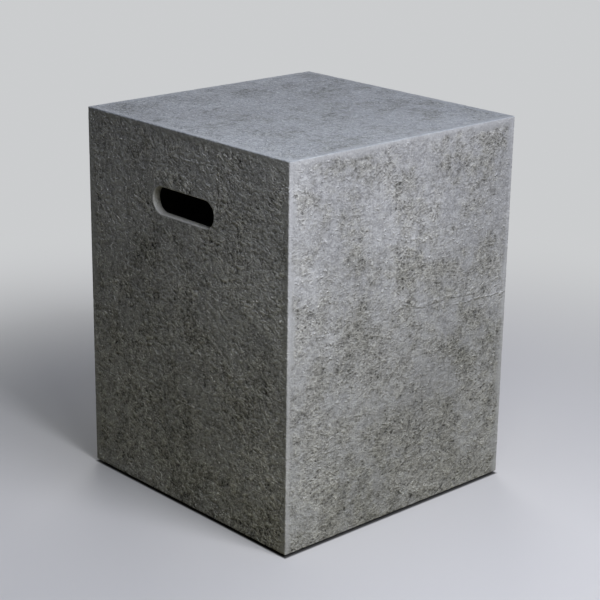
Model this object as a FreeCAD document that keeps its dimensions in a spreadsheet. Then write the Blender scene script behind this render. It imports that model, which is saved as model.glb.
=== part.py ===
"""Tank cover table: one concrete casting, open below, on four screwed rubber feet."""

import FreeCAD, Part
import math
import os

import Sketcher
from FreeCAD import Vector

# Driving dimensions in millimetres: alias, value, what it is
SIZES = [
    ("cover_width", 406.4, "outside of the casting along X"),
    ("cover_depth", 406.4, "outside of the casting along Y"),
    ("cover_height", 520.7, "floor to table top"),
    ("floor_gap", 4.0, "floor up to the rim of the casting"),
    ("wall", 12.0, "thickness of the four walls"),
    ("top_thickness", 14.0, "thickness of the table top"),
    ("arris_radius", 1.5, "rounding of the outer upright and top edges"),
    ("cove_radius", 12.0, "rounding between the walls and the underside of the table top"),
    ("slot_length", 124.0, "hand slot, end to end"),
    ("slot_height", 37.0, "hand slot, with fully round ends"),
    ("slot_drop", 98.7, "table top down to the middle of the hand slot"),
    ("slot_rim_radius", 1.0, "eased outer rim of the hand slot"),
    ("notch_width", 40.0, "hose notch in the rear rim"),
    ("notch_side", 20.0, "straight side of the hose notch, from the rim up to its round crown"),
    ("seat_depth", 2.0, "how far a foot is let into the rim"),
    ("seat_clearance", 0.3, "gap around a foot in its seat"),
    ("seat_outer_lip", 5.0, "concrete left between a foot's seat and the outer faces"),
    ("seat_inner_lip", 2.5, "concrete left between a foot's seat and the inner corner"),
    ("foot_wall", 4.25, "rubber around the recess in a foot"),
    ("foot_edge_radius", 0.8, "rounded lower edge of a foot"),
    ("head_lift", 0.6, "floor up to the screw head"),
    ("head_height", 1.6, "screw head"),
    ("head_overhang", 2.25, "screw head past the shank"),
    ("head_edge_radius", 0.5, "rounded edge of the screw head"),
    ("drive_flats", 2.5, "hexagonal drive, across flats"),
    ("drive_depth", 1.0, "hexagonal drive"),
    ("washer_thickness", 0.8, "washer"),
    ("washer_overhang", 1.25, "washer past the screw head"),
    ("recess_clearance", 0.25, "gap around the washer in the foot"),
    ("screw_diameter", 4.0, "screw over its thread"),
    ("screw_tip_chamfer", 0.6, "bevel at the end of the screw"),
    ("screw_clearance", 0.25, "gap around the screw in the washer and the foot"),
    ("thread_clearance", 0.05, "gap around the screw in the cast-in insert"),
    ("thread_engagement", 8.0, "how far the screw goes into the cast-in insert"),
    ("bore_spare", 4.0, "bore left past the end of the screw"),
    ("anchor_end", 1.5, "closed end of the cast-in insert"),
    ("anchor_wall", 1.45, "cast-in insert, from its bore to its flats"),
    ("anchor_mouth_chamfer", 0.5, "lead-in at the mouth of the cast-in insert"),
]

# Sizes and places that follow from the driving dimensions
RISE = "(sizes.cover_height - sizes.floor_gap)"
CEILING = f"({RISE} - sizes.top_thickness)"
SLOT_LEVEL = f"({RISE} - sizes.slot_drop)"
FOOT_HEIGHT = "(sizes.floor_gap + sizes.seat_depth)"
RECESS_DEPTH = "(sizes.head_lift + sizes.head_height + sizes.washer_thickness)"
HEAD_DIAMETER = "(sizes.screw_diameter + 2 * sizes.head_overhang)"
WASHER_DIAMETER = f"({HEAD_DIAMETER} + 2 * sizes.washer_overhang)"
RECESS_DIAMETER = f"({WASHER_DIAMETER} + 2 * sizes.recess_clearance)"
FOOT_DIAMETER = f"({RECESS_DIAMETER} + 2 * sizes.foot_wall)"
SEAT_DIAMETER = f"({FOOT_DIAMETER} + 2 * sizes.seat_clearance)"
CLEAR_HOLE = "(sizes.screw_diameter + 2 * sizes.screw_clearance)"
BORE_DIAMETER = "(sizes.screw_diameter + 2 * sizes.thread_clearance)"
BORE_DEPTH = "(sizes.thread_engagement + sizes.bore_spare)"
ANCHOR_FLATS = f"({BORE_DIAMETER} + 2 * sizes.anchor_wall)"
ANCHOR_LENGTH = f"({BORE_DEPTH} + sizes.anchor_end)"
SCREW_REACH = f"({FOOT_HEIGHT} - sizes.head_lift + sizes.thread_engagement)"
FOOT_INSET = f"({SEAT_DIAMETER} / 2 + sizes.seat_outer_lip)"
FOOT_MIDDLE_X = f"(sizes.cover_width / 2 - {FOOT_INSET})"
FOOT_MIDDLE_Y = f"(sizes.cover_depth / 2 - {FOOT_INSET})"
# The inner corner is round enough to leave the inner lip beside a seat, on the diagonal
CORNER_THICKENING = (
    f"(({FOOT_INSET} - sizes.wall) * sqrt(2) + {SEAT_DIAMETER} / 2 + sizes.seat_inner_lip)"
)
INNER_CORNER_RADIUS = f"({CORNER_THICKENING} / (sqrt(2) - 1))"

# Each corner's side of the casting along X and along Y
CORNERS = {
    "front_left": (-1, -1),
    "front_right": (1, -1),
    "rear_left": (-1, 1),
    "rear_right": (1, 1),
}

HEXAGON_SIDES = 6
SAME_PLACE = 0.01
UP = Vector(0, 0, 1)


def make_sheet(doc):
    """Keep every driving dimension in a spreadsheet, one row each, under its alias."""
    sheet = doc.addObject("Spreadsheet::Sheet", "sizes")
    for row, (alias, value, meaning) in enumerate(SIZES, start=1):
        sheet.set(f"A{row}", alias)
        sheet.set(f"B{row}", str(value))
        sheet.set(f"C{row}", meaning)
        sheet.setAlias(f"B{row}", alias)
    doc.recompute()


def value_of(item, expression):
    """What an expression on the sheet comes to now."""
    return float(item.evalExpression(expression))


def add_body(doc, name, height="0"):
    """A new body that stands at a height given by an expression."""
    body = doc.addObject("PartDesign::Body", name)
    body.Label = name
    body.setExpression("Placement.Base.z", height)
    return body


def stand_at_corner(body, corner):
    """Move a body over the middle of the foot at one corner."""
    side_x, side_y = CORNERS[corner]
    body.setExpression("Placement.Base.x", f"{side_x} * {FOOT_MIDDLE_X}")
    body.setExpression("Placement.Base.y", f"{side_y} * {FOOT_MIDDLE_Y}")


def origin_plane(body, role):
    return next(feature for feature in body.Origin.OriginFeatures if feature.Role == role)


def add_sketch(body, name, role="XY_Plane"):
    """A new sketch on one of the body's own origin planes."""
    sketch = body.newObject("Sketcher::SketchObject", name)
    sketch.AttachmentSupport = [(origin_plane(body, role), "")]
    sketch.MapMode = "FlatFace"
    return sketch


def bind(sketch, kind, *rest):
    """Add a dimension to a sketch and tie it to an expression, which comes last."""
    *places, expression = rest
    value = value_of(sketch, expression)
    index = sketch.addConstraint(Sketcher.Constraint(kind, *places, value))
    sketch.setExpression(f"Constraints[{index}]", expression)


def relate(sketch, kind, *places):
    """Add a constraint without a size to a sketch."""
    sketch.addConstraint(Sketcher.Constraint(kind, *places))


def add_line(sketch, start, end):
    return sketch.addGeometry(Part.LineSegment(Vector(*start), Vector(*end)), False)


def draw_rectangle(sketch, width, depth):
    """A rectangle about the sketch's origin, with its sides tied to two expressions."""
    x = value_of(sketch, width) / 2
    y = value_of(sketch, depth) / 2
    front = add_line(sketch, (-x, -y), (x, -y))
    right = add_line(sketch, (x, -y), (x, y))
    rear = add_line(sketch, (x, y), (-x, y))
    left = add_line(sketch, (-x, y), (-x, -y))
    for line, following in ((front, right), (right, rear), (rear, left), (left, front)):
        relate(sketch, "Coincident", line, 2, following, 1)
    for line in (front, rear):
        relate(sketch, "Horizontal", line)
    for line in (right, left):
        relate(sketch, "Vertical", line)
    relate(sketch, "Symmetric", front, 1, rear, 1, -1, 1)
    bind(sketch, "DistanceX", front, 1, front, 2, width)
    bind(sketch, "DistanceY", right, 1, right, 2, depth)


def draw_circle(sketch, diameter, middle=None, construction=False):
    """A circle about the sketch's origin, or about a middle given by two expressions."""
    centre = Vector(*(value_of(sketch, place) for place in middle)) if middle else Vector()
    shape = Part.Circle(centre, UP, value_of(sketch, diameter) / 2)
    circle = sketch.addGeometry(shape, construction)
    bind(sketch, "Diameter", circle, diameter)
    if middle:
        bind(sketch, "DistanceX", -1, 1, circle, 3, middle[0])
        bind(sketch, "DistanceY", -1, 1, circle, 3, middle[1])
    else:
        relate(sketch, "Coincident", circle, 3, -1, 1)
    return circle


def draw_hexagon(sketch, flats, middle=None):
    """A regular hexagon with two level sides, from its size across flats."""
    half_turn_share = 180 / HEXAGON_SIDES
    across_corners = f"({flats} / cos({half_turn_share:g} deg))"
    ring = draw_circle(sketch, across_corners, middle, construction=True)
    around = sketch.Geometry[ring]
    step = 2 * math.pi / HEXAGON_SIDES
    points = [around.value(step * side) for side in range(HEXAGON_SIDES)]
    sides = [add_line(sketch, start, end) for start, end in zip(points, points[1:] + points[:1])]
    for line, following in zip(sides, sides[1:] + sides[:1]):
        relate(sketch, "Coincident", line, 2, following, 1)
        relate(sketch, "PointOnObject", line, 1, ring)
    for line in sides[1:]:
        relate(sketch, "Equal", sides[0], line)
    relate(sketch, "Horizontal", sides[1])


def draw_slot(sketch):
    """The hand slot: a level slot with fully round ends, centred on the wall."""
    radius = value_of(sketch, "sizes.slot_height / 2")
    reach = value_of(sketch, "sizes.slot_length / 2") - radius
    level = value_of(sketch, SLOT_LEVEL)
    left_round = Part.Circle(Vector(-reach, level), UP, radius)
    right_round = Part.Circle(Vector(reach, level), UP, radius)
    quarter = math.pi / 2
    left = sketch.addGeometry(Part.ArcOfCircle(left_round, quarter, 3 * quarter), False)
    right = sketch.addGeometry(Part.ArcOfCircle(right_round, -quarter, quarter), False)
    upper = add_line(sketch, (reach, level + radius), (-reach, level + radius))
    lower = add_line(sketch, (-reach, level - radius), (reach, level - radius))
    for line, following in ((upper, left), (left, lower), (lower, right), (right, upper)):
        relate(sketch, "Tangent", line, 2, following, 1)
    relate(sketch, "Equal", left, right)
    relate(sketch, "Symmetric", left, 3, right, 3, -2)
    bind(sketch, "Radius", left, "sizes.slot_height / 2")
    bind(sketch, "DistanceX", left, 3, right, 3, "sizes.slot_length - sizes.slot_height")
    bind(sketch, "DistanceY", -1, 1, left, 3, SLOT_LEVEL)


def draw_notch(sketch):
    """The hose notch: an arch that stands on the rim."""
    radius = value_of(sketch, "sizes.notch_width / 2")
    spring = value_of(sketch, "sizes.notch_side")
    rim = add_line(sketch, (-radius, 0), (radius, 0))
    right = add_line(sketch, (radius, 0), (radius, spring))
    crown_round = Part.Circle(Vector(0, spring), UP, radius)
    crown = sketch.addGeometry(Part.ArcOfCircle(crown_round, 0, math.pi), False)
    left = add_line(sketch, (-radius, spring), (-radius, 0))
    relate(sketch, "Coincident", rim, 2, right, 1)
    relate(sketch, "Coincident", left, 2, rim, 1)
    relate(sketch, "Tangent", right, 2, crown, 1)
    relate(sketch, "Tangent", crown, 2, left, 1)
    relate(sketch, "Vertical", right)
    relate(sketch, "Vertical", left)
    relate(sketch, "Symmetric", rim, 1, rim, 2, -2)
    relate(sketch, "PointOnObject", rim, 1, -1)
    bind(sketch, "DistanceX", rim, 1, rim, 2, "sizes.notch_width")
    bind(sketch, "DistanceY", -1, 1, crown, 3, "sizes.notch_side")


def add_pad(body, name, sketch, length):
    """Raise a sketch upwards by an expression."""
    pad = body.newObject("PartDesign::Pad", name)
    pad.Profile = sketch
    pad.setExpression("Length", length)
    body.Document.recompute()


def add_pocket(body, name, sketch, depth):
    """Cut a sketch on the body's base plane upwards into the body by an expression."""
    pocket = body.newObject("PartDesign::Pocket", name)
    pocket.Profile = sketch
    pocket.Reversed = True
    pocket.setExpression("Length", depth)
    body.Document.recompute()
    return pocket


def add_wall_cut(body, name, sketch, sides):
    """Cut a sketch on an upright plane through the walls on one side of it, or on both."""
    cut = body.newObject("PartDesign::Pocket", name)
    cut.Profile = sketch
    cut.Type = "ThroughAll"
    cut.SideType = sides
    body.Document.recompute()


def edges_where(shape, is_wanted):
    """The names of a shape's edges whose bounding boxes pass a test."""
    return [
        f"Edge{number}"
        for number, edge in enumerate(shape.Edges, start=1)
        if is_wanted(edge.BoundBox)
    ]


def add_fillet(body, name, radius, is_wanted):
    base = body.Tip
    fillet = body.newObject("PartDesign::Fillet", name)
    fillet.Base = (base, edges_where(base.Shape, is_wanted))
    fillet.setExpression("Radius", radius)
    body.Document.recompute()


def add_chamfer(body, name, size, is_wanted):
    base = body.Tip
    chamfer = body.newObject("PartDesign::Chamfer", name)
    chamfer.Base = (base, edges_where(base.Shape, is_wanted))
    chamfer.setExpression("Size", size)
    body.Document.recompute()


def same(value, wanted):
    return abs(value - wanted) < SAME_PLACE


def is_level(box, height):
    """An edge that lies wholly at one height."""
    return same(box.ZMin, height) and same(box.ZMax, height)


def is_upright_at(box, x, y):
    """An upright edge that stands x and y away from the middle, on any side."""
    is_straight = same(box.XLength, 0) and same(box.YLength, 0)
    return is_straight and same(abs(box.Center.x), x) and same(abs(box.Center.y), y)


def is_ring(box, height, diameter):
    """A round edge of one diameter at one height."""
    return is_level(box, height) and same(box.XLength, diameter)


def make_shell(doc):
    """The casting: a box open below, with hand slots, a hose notch and seats for the feet."""
    body = add_body(doc, "concrete_shell", "sizes.floor_gap")
    half_width = value_of(body, "sizes.cover_width / 2")
    half_depth = value_of(body, "sizes.cover_depth / 2")
    wall = value_of(body, "sizes.wall")
    rise = value_of(body, RISE)
    ceiling = value_of(body, CEILING)

    outline = add_sketch(body, "shell_outline")
    draw_rectangle(outline, "sizes.cover_width", "sizes.cover_depth")
    add_pad(body, "shell_block", outline, RISE)

    inside = add_sketch(body, "cavity_outline")
    inner_width = "(sizes.cover_width - 2 * sizes.wall)"
    inner_depth = "(sizes.cover_depth - 2 * sizes.wall)"
    draw_rectangle(inside, inner_width, inner_depth)
    add_pocket(body, "cavity", inside, CEILING)

    def is_inner_corner(box):
        return is_upright_at(box, half_width - wall, half_depth - wall)

    add_fillet(body, "inner_corners", INNER_CORNER_RADIUS, is_inner_corner)
    add_fillet(body, "cove", "sizes.cove_radius", lambda box: is_level(box, ceiling))

    slot = add_sketch(body, "slot_outline", "YZ_Plane")
    draw_slot(slot)
    add_wall_cut(body, "hand_slots", slot, "Symmetric")

    notch = add_sketch(body, "notch_outline", "XZ_Plane")
    draw_notch(notch)
    add_wall_cut(body, "hose_notch", notch, "One side")

    def is_outer_arris(box):
        return is_level(box, rise) or is_upright_at(box, half_width, half_depth)

    add_fillet(body, "outer_arrises", "sizes.arris_radius", is_outer_arris)

    slot_level = value_of(body, SLOT_LEVEL)
    slot_reach = value_of(body, "sizes.slot_height / 2") + SAME_PLACE

    def is_slot_rim(box):
        on_outer_face = same(box.XLength, 0) and same(abs(box.Center.x), half_width)
        above, below = box.ZMax - slot_level, slot_level - box.ZMin
        return on_outer_face and max(above, below) < slot_reach

    add_fillet(body, "slot_rims", "sizes.slot_rim_radius", is_slot_rim)

    foot_middle = (FOOT_MIDDLE_X, FOOT_MIDDLE_Y)
    seat_outline = add_sketch(body, "seat_outline")
    draw_circle(seat_outline, SEAT_DIAMETER, foot_middle)
    seat = add_pocket(body, "foot_seat", seat_outline, "sizes.seat_depth")
    socket_outline = add_sketch(body, "socket_outline")
    draw_hexagon(socket_outline, ANCHOR_FLATS, foot_middle)
    socket_depth = f"sizes.seat_depth + {ANCHOR_LENGTH}"
    socket = add_pocket(body, "anchor_socket", socket_outline, socket_depth)
    repeat_at_corners(body, [seat, socket])


def repeat_at_corners(body, features):
    """Mirror features to the other three corners."""
    pattern = body.newObject("PartDesign::MultiTransform", "four_corners")
    pattern.Originals = features
    mirrors = []
    for name, role in (("mirror_left", "YZ_Plane"), ("mirror_front", "XZ_Plane")):
        mirror = body.newObject("PartDesign::Mirrored", name)
        mirror.MirrorPlane = (origin_plane(body, role), [""])
        mirrors.append(mirror)
    pattern.Transformations = mirrors
    body.Tip = pattern
    body.Document.recompute()


def make_foot(doc, corner):
    """A rubber foot, recessed from below for the washer and the screw head."""
    body = add_body(doc, f"foot_{corner}")
    disc = add_sketch(body, f"foot_outline_{corner}")
    draw_circle(disc, FOOT_DIAMETER)
    add_pad(body, f"foot_disc_{corner}", disc, FOOT_HEIGHT)
    recess = add_sketch(body, f"recess_outline_{corner}")
    draw_circle(recess, RECESS_DIAMETER)
    add_pocket(body, f"recess_{corner}", recess, RECESS_DEPTH)
    hole = add_sketch(body, f"foot_hole_outline_{corner}")
    draw_circle(hole, CLEAR_HOLE)
    add_pocket(body, f"foot_hole_{corner}", hole, FOOT_HEIGHT)
    diameter = value_of(body, FOOT_DIAMETER)
    edge_radius = "sizes.foot_edge_radius"
    add_fillet(body, f"foot_edge_{corner}", edge_radius, lambda box: is_ring(box, 0, diameter))
    stand_at_corner(body, corner)


def make_washer(doc, corner):
    """A flat washer between the screw head and the foot."""
    body = add_body(doc, f"washer_{corner}", "sizes.head_lift + sizes.head_height")
    ring = add_sketch(body, f"washer_outline_{corner}")
    draw_circle(ring, WASHER_DIAMETER)
    draw_circle(ring, CLEAR_HOLE)
    add_pad(body, f"washer_ring_{corner}", ring, "sizes.washer_thickness")
    stand_at_corner(body, corner)


def make_screw(doc, corner):
    """A low-head screw, head down, with a hexagonal drive."""
    body = add_body(doc, f"screw_{corner}", "sizes.head_lift")
    head = add_sketch(body, f"head_outline_{corner}")
    draw_circle(head, HEAD_DIAMETER)
    add_pad(body, f"head_{corner}", head, "sizes.head_height")
    shank = add_sketch(body, f"shank_outline_{corner}")
    draw_circle(shank, "sizes.screw_diameter")
    add_pad(body, f"shank_{corner}", shank, SCREW_REACH)
    drive = add_sketch(body, f"drive_outline_{corner}")
    draw_hexagon(drive, "sizes.drive_flats")
    add_pocket(body, f"drive_{corner}", drive, "sizes.drive_depth")
    head_diameter = value_of(body, HEAD_DIAMETER)
    head_radius = "sizes.head_edge_radius"
    add_fillet(body, f"head_edge_{corner}", head_radius, lambda box: is_ring(box, 0, head_diameter))
    screw_diameter = value_of(body, "sizes.screw_diameter")
    tip = value_of(body, SCREW_REACH)
    bevel = "sizes.screw_tip_chamfer"
    add_chamfer(body, f"screw_tip_{corner}", bevel, lambda box: is_ring(box, tip, screw_diameter))
    stand_at_corner(body, corner)


def make_anchor(doc, corner):
    """A hexagonal insert cast into the rim over the foot, with a closed end."""
    body = add_body(doc, f"anchor_{corner}", FOOT_HEIGHT)
    outline = add_sketch(body, f"anchor_outline_{corner}")
    draw_hexagon(outline, ANCHOR_FLATS)
    add_pad(body, f"anchor_bar_{corner}", outline, ANCHOR_LENGTH)
    bore = add_sketch(body, f"bore_outline_{corner}")
    draw_circle(bore, BORE_DIAMETER)
    add_pocket(body, f"anchor_bore_{corner}", bore, BORE_DEPTH)
    diameter = value_of(body, BORE_DIAMETER)
    lead_in = "sizes.anchor_mouth_chamfer"
    add_chamfer(body, f"anchor_mouth_{corner}", lead_in, lambda box: is_ring(box, 0, diameter))
    stand_at_corner(body, corner)


def find_faults(doc, bodies):
    """Everything in the document that failed to build, in words."""
    faults = [
        f"{item.Name} is {', '.join(item.State)}"
        for item in doc.Objects
        if "Invalid" in item.State or "Error" in item.State
    ]
    for body in bodies:
        shape = body.Shape
        if shape.isNull() or not shape.isValid() or len(shape.Solids) != 1:
            faults.append(f"{body.Label} is not one valid solid")
    return faults


def main():
    os.makedirs("parts", exist_ok=True)
    doc = FreeCAD.newDocument("tank_cover_table")
    make_sheet(doc)
    make_shell(doc)
    for corner in CORNERS:
        make_foot(doc, corner)
        make_washer(doc, corner)
        make_screw(doc, corner)
        make_anchor(doc, corner)
    doc.recompute()

    bodies = [item for item in doc.Objects if item.TypeId == "PartDesign::Body"]
    faults = find_faults(doc, bodies)
    if faults:
        raise RuntimeError("; ".join(faults))
    for body in bodies:
        body.Shape.exportStep(f"parts/{body.Label}.step")
        print(f"{body.Label}: {body.Shape.Volume:.1f} mm3")


main()
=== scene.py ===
"""The cover table dressed for its photograph: a pitted concrete casting on four rubber feet."""

import math

import bmesh
import bpy
import numpy as np
from mathutils import Matrix, Vector
from mathutils.geometry import delaunay_2d_cdt


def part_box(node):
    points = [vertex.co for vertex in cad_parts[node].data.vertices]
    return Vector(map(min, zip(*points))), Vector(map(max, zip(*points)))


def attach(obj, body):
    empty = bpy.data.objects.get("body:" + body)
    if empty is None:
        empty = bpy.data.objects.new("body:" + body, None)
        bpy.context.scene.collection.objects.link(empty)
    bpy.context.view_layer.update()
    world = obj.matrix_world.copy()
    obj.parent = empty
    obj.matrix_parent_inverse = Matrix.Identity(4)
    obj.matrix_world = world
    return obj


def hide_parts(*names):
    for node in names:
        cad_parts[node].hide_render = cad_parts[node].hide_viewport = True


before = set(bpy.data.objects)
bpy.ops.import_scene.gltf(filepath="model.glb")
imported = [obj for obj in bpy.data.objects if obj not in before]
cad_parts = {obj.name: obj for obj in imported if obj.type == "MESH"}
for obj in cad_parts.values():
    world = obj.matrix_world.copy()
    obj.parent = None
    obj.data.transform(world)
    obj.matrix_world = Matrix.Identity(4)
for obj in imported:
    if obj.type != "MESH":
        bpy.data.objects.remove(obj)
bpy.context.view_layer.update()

SHELL = "concrete_shell"
CORNERS = ("front_left", "front_right", "rear_left", "rear_right")

# The casting's sizes in metres, as it was built
WALL = 0.012
TOP_THICKNESS = 0.014
ARRIS_RADIUS = 0.0015
COVE_RADIUS = 0.012
SLOT_LENGTH = 0.124
SLOT_HEIGHT = 0.037
SLOT_DROP = 0.0987
SLOT_RIM_RADIUS = 0.001
NOTCH_WIDTH = 0.040
NOTCH_SIDE = 0.020
SEAT_DEPTH = 0.002
SEAT_CLEARANCE = 0.0003
SEAT_INNER_LIP = 0.0025

# Small roundings that the mould and the sanding block leave
RIM_EASE = 0.0010
INNER_EASE = 0.0010

# How fine the mesh is
CAST_STEP = 0.0037
BACK_STEP = 0.012
RIM_STEP = 0.005
ROUND_STEPS = 4
CORNER_STEPS = 10
COLLAR_STEPS = 4
REVEAL_STEPS = 4
INNER_EASE_STEPS = 2
COVE_STEPS = 8
SEAT_SIDES = 32
HEXAGON_SIDES = 6
COLLAR_WIDTH = 0.011
WELD = 1e-6
SHARP_ANGLE = math.radians(38)
TRIANGLES_INSIDE = 1

# Outward direction of each side; going along it, the sides follow each other anticlockwise
SIDES = {"front": (0, -1), "right": (1, 0), "rear": (0, 1), "left": (-1, 0)}
SLOTTED_SIDES = ("left", "right")
NOTCHED_SIDE = "rear"

# Zones of the casting, which are its mesh's material slots
CAST, REVEAL, BACK, SEAT, RIM = range(5)

shell_low, shell_high = (np.array(corner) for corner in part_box(SHELL))
HALF_WIDTH = float(shell_high[0])
RIM_LEVEL = float(shell_low[2])
TABLE_TOP = float(shell_high[2])
CEILING = TABLE_TOP - TOP_THICKNESS
SLOT_LEVEL = TABLE_TOP - SLOT_DROP

FOOT_MIDDLES = {corner: np.mean(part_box("foot_" + corner), axis=0) for corner in CORNERS}
foot_low, foot_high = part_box("foot_" + CORNERS[0])
SEAT_RADIUS = (foot_high[0] - foot_low[0]) / 2 + SEAT_CLEARANCE
anchor_low, anchor_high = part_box("anchor_" + CORNERS[0])
ANCHOR_TOP = anchor_high[2]
ANCHOR_FLATS = anchor_high[1] - anchor_low[1]
FOOT_INSET = HALF_WIDTH - abs(FOOT_MIDDLES[CORNERS[0]][0])
CORNER_THICKENING = (FOOT_INSET - WALL) * math.sqrt(2) + SEAT_RADIUS + SEAT_INNER_LIP
INNER_CORNER_RADIUS = CORNER_THICKENING / (math.sqrt(2) - 1)


class Skin:
    """Gathers patches of a surface, then welds the borders that they share into one mesh."""

    def __init__(self):
        self.points = []
        self.faces = []
        self.zones = []
        self.distances = []
        self.count = 0

    def add(self, points, faces, zone, distance=0.0):
        """Add a patch: its points, its faces, its zone and how far each point is from an edge."""
        points = np.asarray(points, float).reshape(-1, 3)
        self.faces += [[index + self.count for index in face] for face in faces]
        self.zones += [zone] * len(faces)
        self.points.append(points)
        self.distances.append(np.broadcast_to(distance, len(points)).astype(float))
        self.count += len(points)

    def add_rows(self, rows, zone, distance=0.0, closed=False, keep=None):
        """Add the squares between rows of points; keep(row, column) may leave some of them out."""
        rows = np.asarray(rows, float)
        height, width = rows.shape[:2]
        faces = []
        for row in range(height - 1):
            for column in range(width if closed else width - 1):
                if keep is None or keep(row, column):
                    following = (column + 1) % width
                    low, high = row * width, (row + 1) * width
                    faces.append([low + column, low + following, high + following, high + column])
        self.add(rows, faces, zone, np.ravel(distance) if np.ndim(distance) else distance)

    def add_zip(self, fine, coarse, fine_turns, coarse_turns, zone):
        """Add the triangles between two lines of points round an opening, by how far round they lie."""
        shift, i, j, faces = len(fine), 0, 0, []
        while i < len(fine) - 1 or j < len(coarse) - 1:
            more_fine, more_coarse = i < len(fine) - 1, j < len(coarse) - 1
            if more_fine and not (more_coarse and coarse_turns[j + 1] < fine_turns[i + 1]):
                faces.append([i, i + 1, shift + j])
                i += 1
            else:
                faces.append([i, shift + j + 1, shift + j])
                j += 1
        self.add(np.vstack([fine, coarse]), faces, zone)

    def add_flat(self, level, outline, holes, step, zone):
        """Add a level patch between an outline and its holes, with points a step apart in it."""
        loops = [np.asarray(line)[:, :2] for line in [outline, *holes]]
        border = np.vstack(loops)
        low, high = border.min(0), border.max(0)
        counts = np.ceil((high - low) / step).astype(int)
        x, y = np.meshgrid(*(np.linspace(a, b, n + 1) for a, b, n in zip(low, high, counts)))
        x[1::2] += step / 2
        filling = np.column_stack([x.ravel(), y.ravel()])
        filling = filling[between(filling, loops)]
        gaps = np.array([np.linalg.norm(border - point, axis=1).min() for point in filling])
        filling = filling[gaps > step / 2] if len(filling) else filling
        edges, first = [], 0
        for line in loops:
            edges += [(first + i, first + (i + 1) % len(line)) for i in range(len(line))]
            first += len(line)
        points = [Vector(point) for point in np.vstack([border, filling])]
        flat, _, faces, *_ = delaunay_2d_cdt(points, edges, [], TRIANGLES_INSIDE, WELD / 10)
        flat = np.array([tuple(point) for point in flat])
        centres = np.array([flat[list(face)].mean(0) for face in faces])
        faces = [list(face) for face, kept in zip(faces, between(centres, loops)) if kept]
        self.add(at_level(flat, level), faces, zone)

    def mesh(self, name):
        """One welded mesh with all its faces turned outwards."""
        mesh = bpy.data.meshes.new(name)
        mesh.from_pydata(np.vstack(self.points).tolist(), [], self.faces)
        near = mesh.attributes.new("edge_distance", "FLOAT", "POINT")
        near.data.foreach_set("value", np.concatenate(self.distances))
        mesh.polygons.foreach_set("material_index", self.zones)
        work = bmesh.new()
        work.from_mesh(mesh)
        bmesh.ops.remove_doubles(work, verts=work.verts, dist=WELD)
        unused = [point for point in work.verts if not point.link_faces]
        bmesh.ops.delete(work, geom=unused, context="VERTS")
        bmesh.ops.recalc_face_normals(work, faces=work.faces)
        work.to_mesh(mesh)
        work.free()
        mark_zones(mesh)
        return mesh


def array_of(items, name, kind=float, width=1):
    """One property of all the items, as an array."""
    values = np.empty(len(items) * width, kind)
    items.foreach_get(name, values)
    return values.reshape(-1, width) if width > 1 else values


def mark_zones(mesh):
    """Mark the points of the inside alone, and the points that touch a foot's seat."""
    zones = array_of(mesh.polygons, "material_index", int)
    corners = array_of(mesh.loops, "vertex_index", int)
    sizes = array_of(mesh.polygons, "loop_total", int)
    is_back, is_seat = np.ones(len(mesh.vertices)), np.zeros(len(mesh.vertices))
    np.minimum.at(is_back, corners, np.repeat(zones == BACK, sizes).astype(float))
    np.maximum.at(is_seat, corners, np.repeat(zones == SEAT, sizes).astype(float))
    for name, values in (("is_back", is_back), ("is_seat", is_seat)):
        mesh.attributes.new(name, "FLOAT", "POINT").data.foreach_set("value", values)


def inside(points, outline):
    """Which of the flat points lie inside a closed outline."""
    x, y = np.asarray(points, float).T
    result = np.zeros(len(x), bool)
    for (x1, y1), (x2, y2) in zip(outline, np.roll(outline, -1, axis=0)):
        if y1 != y2:
            crosses = (y1 > y) != (y2 > y)
            result ^= crosses & (x < (x2 - x1) * (y - y1) / (y2 - y1) + x1)
    return result


def between(points, loops):
    """Which of the flat points lie inside the first outline and outside the others."""
    if not len(points):
        return np.zeros(0, bool)
    result = inside(points, loops[0])
    for hole in loops[1:]:
        result &= ~inside(points, hole)
    return result


def at_level(flat, level):
    return np.column_stack([flat, np.full(len(flat), level)])


def stops(low, high, step):
    """Evenly spaced places from low to high, about a step apart."""
    return np.linspace(low, high, max(2, round((high - low) / step) + 1))


def rounded_end(radius):
    """How far from a rounded edge its grid lines lie, so that they turn it by equal angles."""
    angles = np.linspace(math.pi / 4, 0, ROUND_STEPS + 1)[:-1]
    return radius * (1 - np.tan(angles))


def across_stops():
    """The outer grid's places along a side, from one upright arris to the next."""
    end = rounded_end(ARRIS_RADIUS)
    flat = stops(-HALF_WIDTH + ARRIS_RADIUS, HALF_WIDTH - ARRIS_RADIUS, CAST_STEP)
    return np.concatenate([-HALF_WIDTH + end, flat, (HALF_WIDTH - end)[::-1]])


def up_stops():
    """The outer grid's places up a side, from the eased rim to the top arris."""
    turns = np.linspace(math.pi / 2, 0, ROUND_STEPS + 1)[:-1]
    low = RIM_LEVEL + RIM_EASE * (1 - np.sin(turns))
    flat = stops(RIM_LEVEL + RIM_EASE, TABLE_TOP - ARRIS_RADIUS, CAST_STEP)
    return np.concatenate([low, flat, (TABLE_TOP - rounded_end(ARRIS_RADIUS))[::-1]])


ACROSS, UP = across_stops(), up_stops()
INNER_REACH = HALF_WIDTH - WALL - INNER_CORNER_RADIUS
INNER_ACROSS = stops(-INNER_REACH, INNER_REACH, BACK_STEP)
INNER_UP = stops(RIM_LEVEL, CEILING - COVE_RADIUS, BACK_STEP)


def rim_inset(height):
    """How far the eased lower edge draws the outer face in at a height above the rim."""
    left = np.clip(RIM_EASE - height, 0, RIM_EASE)
    return RIM_EASE - np.sqrt(RIM_EASE**2 - left**2)


def side_directions(side):
    out = np.array(SIDES[side] + (0,), float)
    return out, np.array((-out[1], out[0], 0))


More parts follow.
